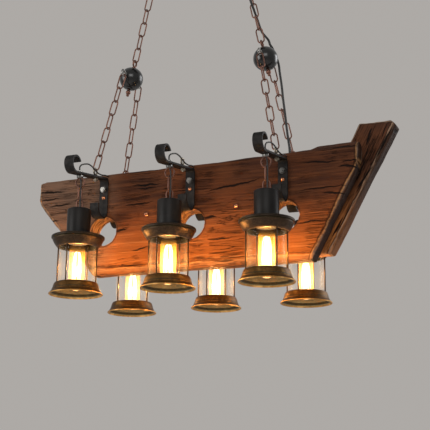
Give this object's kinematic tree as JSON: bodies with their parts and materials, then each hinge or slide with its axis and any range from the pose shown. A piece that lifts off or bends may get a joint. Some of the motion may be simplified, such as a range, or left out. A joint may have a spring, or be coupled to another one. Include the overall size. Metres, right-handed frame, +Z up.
{
  "type": "plank chandelier",
  "caption": "Rustic pendant chandelier: a timber plank hung on two chains from a canopy, with glass lanterns on scrolled iron brackets along both faces.",
  "frame": {"origin": "middle of the ceiling face of the mounting bar", "axes": "+Z up to the ceiling, +X along the plank to the end with the slanted end plank, -Y to the front face with the studs"},
  "size_m": [0.8008, 0.364, 0.8083],
  "materials": {
    "plank_wood": "matte, rough sawn, strong grain with long cracks",
    "end_wood": "matte, rough sawn, worn light edges",
    "black_iron": "matte black, forged",
    "canopy_paint": "matte black",
    "dark_steel": "satin, blackened",
    "zinc_steel": "satin, zinc plated",
    "copper_chain": "satin, antique copper plated",
    "copper_nails": "satin, antique copper",
    "black_gloss": "gloss black lacquer",
    "antique_brass": "dark antique bronze with golden worn edges",
    "cup_black": "satin charcoal black",
    "socket_plastic": "satin black",
    "clear_glass": "clear, polished",
    "bulb_glass": "clear tubular bulb with warm filaments",
    "cable_black": "matte black"
  },
  "bodies": {
    "ceiling": {"canopy": "canopy_paint", "mounting_bar": "zinc_steel", "canopy_nuts": "canopy_paint", "ceiling_hooks": "dark_steel", "cable_grip": "cable_black"},
    "chains": {"upper_chains": "copper_chain", "cable_upper": "cable_black"},
    "beam": {"chain_balls": "black_gloss", "ball_axles": "zinc_steel", "ball_eyes": "copper_nails", "lower_chains": "copper_chain", "main_plank": "plank_wood", "end_plank": "end_wood", "plank_screws": "dark_steel", "front_brackets": "black_iron", "back_brackets": "black_iron", "bracket_bolts": "zinc_steel", "dome_nails": "copper_nails", "screw_eyes": "antique_brass", "lamp_hooks": "zinc_steel", "lamp_wires": "cable_black", "cable_lower": "cable_black", "cable_gland": "cable_black"},
    "front_left_link": {"front_left_link": "copper_chain"},
    "front_left": {"front_left_cup": "cup_black", "front_left_socket": "socket_plastic", "front_left_cage": "antique_brass", "front_left_glass": "clear_glass", "front_left_bulb": "bulb_glass"},
    "front_middle_link": {"front_middle_link": "copper_chain"},
    "front_middle": {"front_middle_cup": "cup_black", "front_middle_socket": "socket_plastic", "front_middle_cage": "antique_brass", "front_middle_glass": "clear_glass", "front_middle_bulb": "bulb_glass"},
    "front_right_link": {"front_right_link": "copper_chain"},
    "front_right": {"front_right_cup": "cup_black", "front_right_socket": "socket_plastic", "front_right_cage": "antique_brass", "front_right_glass": "clear_glass", "front_right_bulb": "bulb_glass"},
    "back_left_link": {"back_left_link": "copper_chain"},
    "back_left": {"back_left_cup": "cup_black", "back_left_socket": "socket_plastic", "back_left_cage": "antique_brass", "back_left_glass": "clear_glass", "back_left_bulb": "bulb_glass"},
    "back_middle_link": {"back_middle_link": "copper_chain"},
    "back_middle": {"back_middle_cup": "cup_black", "back_middle_socket": "socket_plastic", "back_middle_cage": "antique_brass", "back_middle_glass": "clear_glass", "back_middle_bulb": "bulb_glass"},
    "back_right_link": {"back_right_link": "copper_chain"},
    "back_right": {"back_right_cup": "cup_black", "back_right_socket": "socket_plastic", "back_right_cage": "antique_brass", "back_right_glass": "clear_glass", "back_right_bulb": "bulb_glass"}
  },
  "joints": [
    {"name": "chain_swing", "type": "hinge", "parent": "ceiling", "child": "chains", "pos_m": [0, 0, -0.0422], "axis": [1, 0, 0], "range_deg": [-12, 12]},
    {"name": "beam_rock", "type": "hinge", "parent": "chains", "child": "beam", "pos_m": [0, 0, -0.25819], "axis": [1, 0, 0], "range_deg": [-10, 10]},
    {"name": "front_left_swing", "type": "hinge", "parent": "beam", "child": "front_left_link", "pos_m": [-0.205, -0.127, -0.58156], "axis": [1, 0, 0], "range_deg": [-35, 14]},
    {"name": "front_left_sway", "type": "hinge", "parent": "front_left_link", "child": "front_left", "pos_m": [-0.205, -0.127, -0.61156], "axis": [0, 1, 0], "range_deg": [-12, 12]},
    {"name": "front_middle_swing", "type": "hinge", "parent": "beam", "child": "front_middle_link", "pos_m": [0, -0.127, -0.58156], "axis": [1, 0, 0], "range_deg": [-35, 14]},
    {"name": "front_middle_sway", "type": "hinge", "parent": "front_middle_link", "child": "front_middle", "pos_m": [0, -0.127, -0.61156], "axis": [0, 1, 0], "range_deg": [-12, 12]},
    {"name": "front_right_swing", "type": "hinge", "parent": "beam", "child": "front_right_link", "pos_m": [0.205, -0.127, -0.58156], "axis": [1, 0, 0], "range_deg": [-35, 14]},
    {"name": "front_right_sway", "type": "hinge", "parent": "front_right_link", "child": "front_right", "pos_m": [0.205, -0.127, -0.61156], "axis": [0, 1, 0], "range_deg": [-12, 12]},
    {"name": "back_left_swing", "type": "hinge", "parent": "beam", "child": "back_left_link", "pos_m": [-0.205, 0.127, -0.58156], "axis": [1, 0, 0], "range_deg": [-14, 35]},
    {"name": "back_left_sway", "type": "hinge", "parent": "back_left_link", "child": "back_left", "pos_m": [-0.205, 0.127, -0.61156], "axis": [0, 1, 0], "range_deg": [-12, 12]},
    {"name": "back_middle_swing", "type": "hinge", "parent": "beam", "child": "back_middle_link", "pos_m": [0, 0.127, -0.58156], "axis": [1, 0, 0], "range_deg": [-14, 35]},
    {"name": "back_middle_sway", "type": "hinge", "parent": "back_middle_link", "child": "back_middle", "pos_m": [0, 0.127, -0.61156], "axis": [0, 1, 0], "range_deg": [-12, 12]},
    {"name": "back_right_swing", "type": "hinge", "parent": "beam", "child": "back_right_link", "pos_m": [0.205, 0.127, -0.58156], "axis": [1, 0, 0], "range_deg": [-2, 35]},
    {"name": "back_right_sway", "type": "hinge", "parent": "back_right_link", "child": "back_right", "pos_m": [0.205, 0.127, -0.61156], "axis": [0, 1, 0], "range_deg": [-12, 12]}
  ]
}
